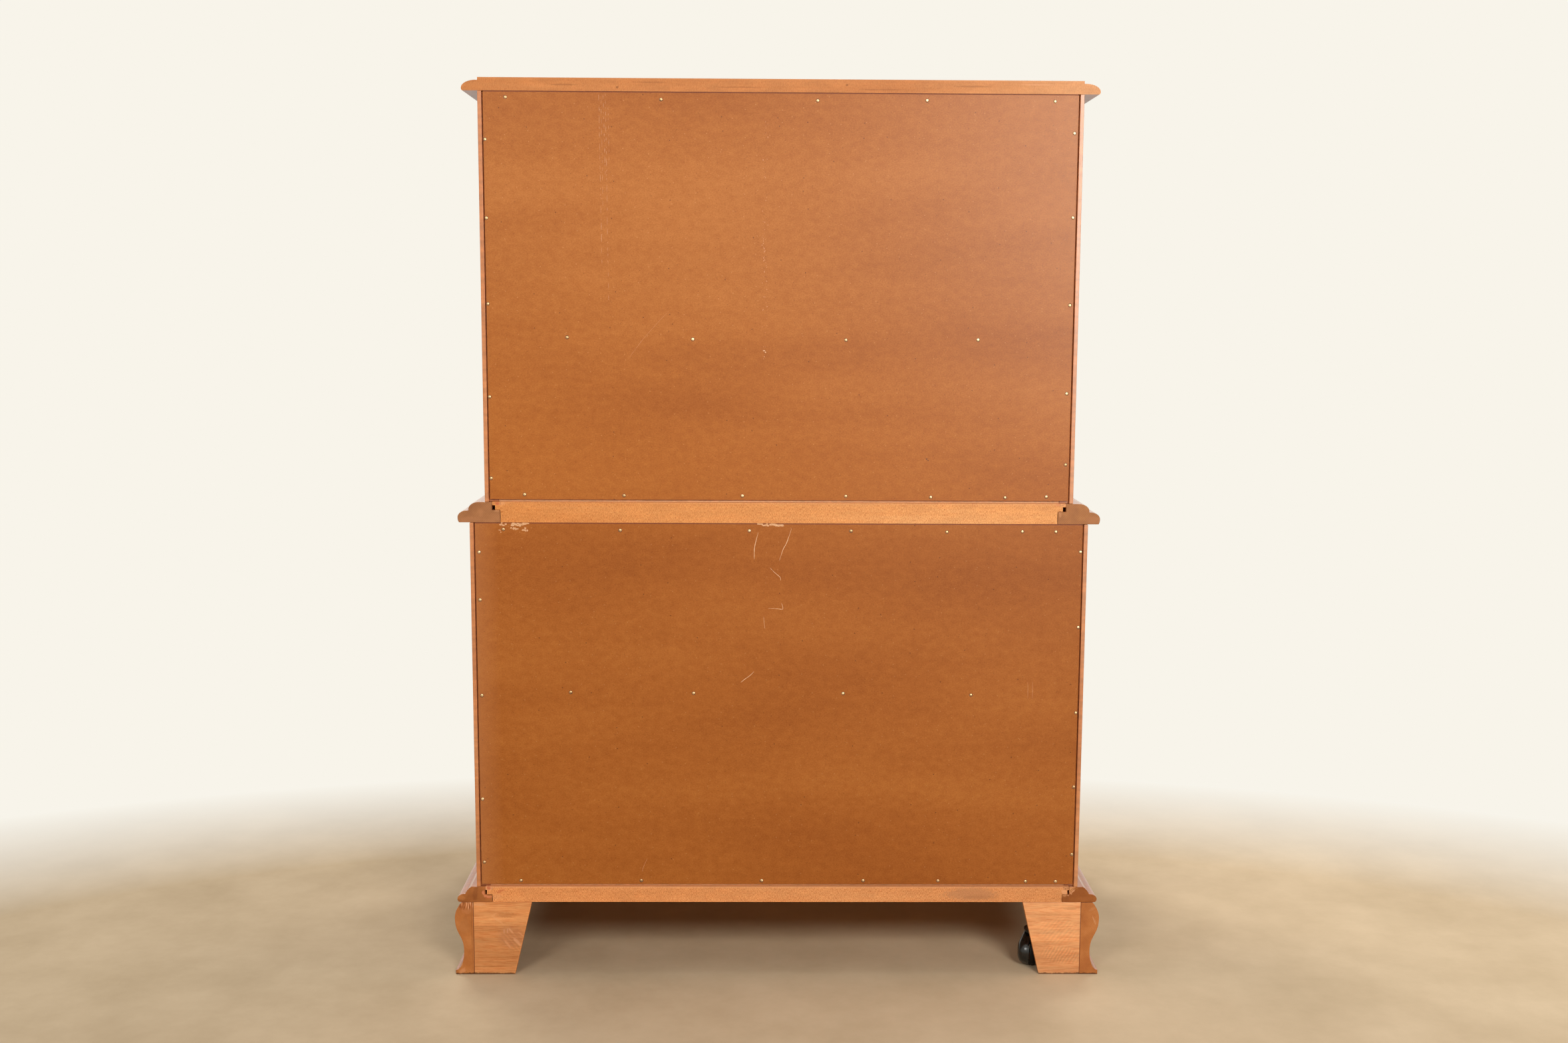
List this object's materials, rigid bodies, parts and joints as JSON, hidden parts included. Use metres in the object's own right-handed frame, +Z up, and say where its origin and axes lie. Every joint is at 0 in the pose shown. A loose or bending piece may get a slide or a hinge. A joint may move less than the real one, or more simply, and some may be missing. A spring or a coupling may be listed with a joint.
{
  "type": "chest on chest",
  "caption": "Tall two-part maple chest of drawers on ogee bracket feet, with lipped drawers, brass bail pulls, ball casters and nailed hardboard backs.",
  "frame": {"origin": "on the floor, at the middle of the chest's width and depth", "axes": "+Z up, -Y out of the drawer fronts, +Y out of the nailed backs, +X to the chest's right hand as seen from the front"},
  "size_m": [0.9476, 0.4782, 1.2885],
  "materials": {
    "maple": "satin lacquer",
    "drawer_maple": "bare, sanded",
    "hardboard": "stained, satin",
    "brass": "antiqued",
    "black_plastic": "satin"
  },
  "bodies": {
    "case": {"top_board": "maple", "waist_moulding": "maple", "waist_back_rail": "maple", "base_moulding": "maple", "base_back_rail": "maple", "upper_side_left": "maple", "upper_side_right": "maple", "upper_back_panel": "hardboard", "upper_bottom_frame": "drawer_maple", "upper_middle_frame": "drawer_maple", "upper_open_frame": "drawer_maple", "upper_top_frame": "drawer_maple", "lower_side_left": "maple", "lower_side_right": "maple", "lower_back_panel": "hardboard", "lower_bottom_frame": "drawer_maple", "lower_middle_frame": "drawer_maple", "lower_top_frame": "drawer_maple", "front_foot_left": "maple", "back_foot_left_side": "maple", "back_foot_left_board": "maple", "front_foot_right": "maple", "back_foot_right_side": "maple", "back_foot_right_board": "maple"},
    "drawer_1": {"drawer_1_front": "maple", "drawer_1_box": "drawer_maple", "drawer_1_pull_left_plate": "brass", "drawer_1_pull_right_plate": "brass"},
    "drawer_1_bail_left": {"drawer_1_pull_left_bail": "brass"},
    "drawer_1_bail_right": {"drawer_1_pull_right_bail": "brass"},
    "drawer_2": {"drawer_2_front": "maple", "drawer_2_box": "drawer_maple", "drawer_2_pull_left_plate": "brass", "drawer_2_pull_right_plate": "brass"},
    "drawer_2_bail_left": {"drawer_2_pull_left_bail": "brass"},
    "drawer_2_bail_right": {"drawer_2_pull_right_bail": "brass"},
    "drawer_3": {"drawer_3_front": "maple", "drawer_3_box": "drawer_maple", "drawer_3_pull_left_plate": "brass", "drawer_3_pull_right_plate": "brass"},
    "drawer_3_bail_left": {"drawer_3_pull_left_bail": "brass"},
    "drawer_3_bail_right": {"drawer_3_pull_right_bail": "brass"},
    "drawer_4": {"drawer_4_front": "maple", "drawer_4_box": "drawer_maple", "drawer_4_pull_left_plate": "brass", "drawer_4_pull_right_plate": "brass"},
    "drawer_4_bail_left": {"drawer_4_pull_left_bail": "brass"},
    "drawer_4_bail_right": {"drawer_4_pull_right_bail": "brass"},
    "drawer_5": {"drawer_5_front": "maple", "drawer_5_box": "drawer_maple", "drawer_5_pull_left_plate": "brass", "drawer_5_pull_right_plate": "brass"},
    "drawer_5_bail_left": {"drawer_5_pull_left_bail": "brass"},
    "drawer_5_bail_right": {"drawer_5_pull_right_bail": "brass"},
    "caster_back_left": {"caster_back_left_hood": "black_plastic"},
    "caster_back_left_wheel": {"caster_back_left_ball": "black_plastic"},
    "caster_front_left": {"caster_front_left_hood": "black_plastic"},
    "caster_front_left_wheel": {"caster_front_left_ball": "black_plastic"},
    "caster_front_right": {"caster_front_right_hood": "black_plastic"},
    "caster_front_right_wheel": {"caster_front_right_ball": "black_plastic"}
  },
  "joints": [
    {"name": "drawer_1_slide", "type": "slide", "parent": "case", "child": "drawer_1", "axis": [0, -1, 0], "range_m": [0, 0.33]},
    {"name": "drawer_1_bail_left_hinge", "type": "hinge", "parent": "drawer_1", "child": "drawer_1_bail_left", "pos_m": [-0.23502, -0.2019, 1.1825], "axis": [-1, 0, 0], "range_deg": [0, 95]},
    {"name": "drawer_1_bail_right_hinge", "type": "hinge", "parent": "drawer_1", "child": "drawer_1_bail_right", "pos_m": [0.23502, -0.2019, 1.1825], "axis": [-1, 0, 0], "range_deg": [0, 95]},
    {"name": "drawer_2_slide", "type": "slide", "parent": "case", "child": "drawer_2", "axis": [0, -1, 0], "range_m": [0, 0.33]},
    {"name": "drawer_2_bail_left_hinge", "type": "hinge", "parent": "drawer_2", "child": "drawer_2_bail_left", "pos_m": [-0.23502, -0.2019, 1.0185], "axis": [-1, 0, 0], "range_deg": [0, 95]},
    {"name": "drawer_2_bail_right_hinge", "type": "hinge", "parent": "drawer_2", "child": "drawer_2_bail_right", "pos_m": [0.23502, -0.2019, 1.0185], "axis": [-1, 0, 0], "range_deg": [0, 95]},
    {"name": "drawer_3_slide", "type": "slide", "parent": "case", "child": "drawer_3", "axis": [0, -1, 0], "range_m": [0, 0.33]},
    {"name": "drawer_3_bail_left_hinge", "type": "hinge", "parent": "drawer_3", "child": "drawer_3_bail_left", "pos_m": [-0.23502, -0.2019, 0.8219], "axis": [-1, 0, 0], "range_deg": [0, 95]},
    {"name": "drawer_3_bail_right_hinge", "type": "hinge", "parent": "drawer_3", "child": "drawer_3_bail_right", "pos_m": [0.23502, -0.2019, 0.8219], "axis": [-1, 0, 0], "range_deg": [0, 95]},
    {"name": "drawer_4_slide", "type": "slide", "parent": "case", "child": "drawer_4", "axis": [0, -1, 0], "range_m": [0, 0.35]},
    {"name": "drawer_4_bail_left_hinge", "type": "hinge", "parent": "drawer_4", "child": "drawer_4_bail_left", "pos_m": [-0.23502, -0.2242, 0.5431], "axis": [-1, 0, 0], "range_deg": [0, 95]},
    {"name": "drawer_4_bail_right_hinge", "type": "hinge", "parent": "drawer_4", "child": "drawer_4_bail_right", "pos_m": [0.23502, -0.2242, 0.5431], "axis": [-1, 0, 0], "range_deg": [0, 95]},
    {"name": "drawer_5_slide", "type": "slide", "parent": "case", "child": "drawer_5", "axis": [0, -1, 0], "range_m": [0, 0.35]},
    {"name": "drawer_5_bail_left_hinge", "type": "hinge", "parent": "drawer_5", "child": "drawer_5_bail_left", "pos_m": [-0.23502, -0.2242, 0.28375], "axis": [-1, 0, 0], "range_deg": [0, 95]},
    {"name": "drawer_5_bail_right_hinge", "type": "hinge", "parent": "drawer_5", "child": "drawer_5_bail_right", "pos_m": [0.23502, -0.2242, 0.28375], "axis": [-1, 0, 0], "range_deg": [0, 95]},
    {"name": "caster_back_left_swivel", "type": "hinge", "parent": "case", "child": "caster_back_left", "pos_m": [-0.3858, 0.18386, 0.0504], "axis": [0, 0, 1], "continuous": true},
    {"name": "caster_back_left_spin", "type": "hinge", "parent": "caster_back_left", "child": "caster_back_left_wheel", "pos_m": [-0.37882, 0.20093, 0.021], "axis": [-0.9856, 0.1685, -0.0175], "continuous": true},
    {"name": "caster_front_left_swivel", "type": "hinge", "parent": "case", "child": "caster_front_left", "pos_m": [-0.3858, -0.16906, 0.0504], "axis": [0, 0, 1], "continuous": true},
    {"name": "caster_front_left_spin", "type": "hinge", "parent": "caster_front_left", "child": "caster_front_left_wheel", "pos_m": [-0.38182, -0.18706, 0.021], "axis": [0.9062, 0.4226, -0.0175], "continuous": true},
    {"name": "caster_front_right_swivel", "type": "hinge", "parent": "case", "child": "caster_front_right", "pos_m": [0.3858, -0.16906, 0.0504], "axis": [0, 0, 1], "continuous": true},
    {"name": "caster_front_right_spin", "type": "hinge", "parent": "caster_front_right", "child": "caster_front_right_wheel", "pos_m": [0.37117, -0.18028, 0.021], "axis": [0.7659, -0.6427, -0.0175], "continuous": true}
  ]
}
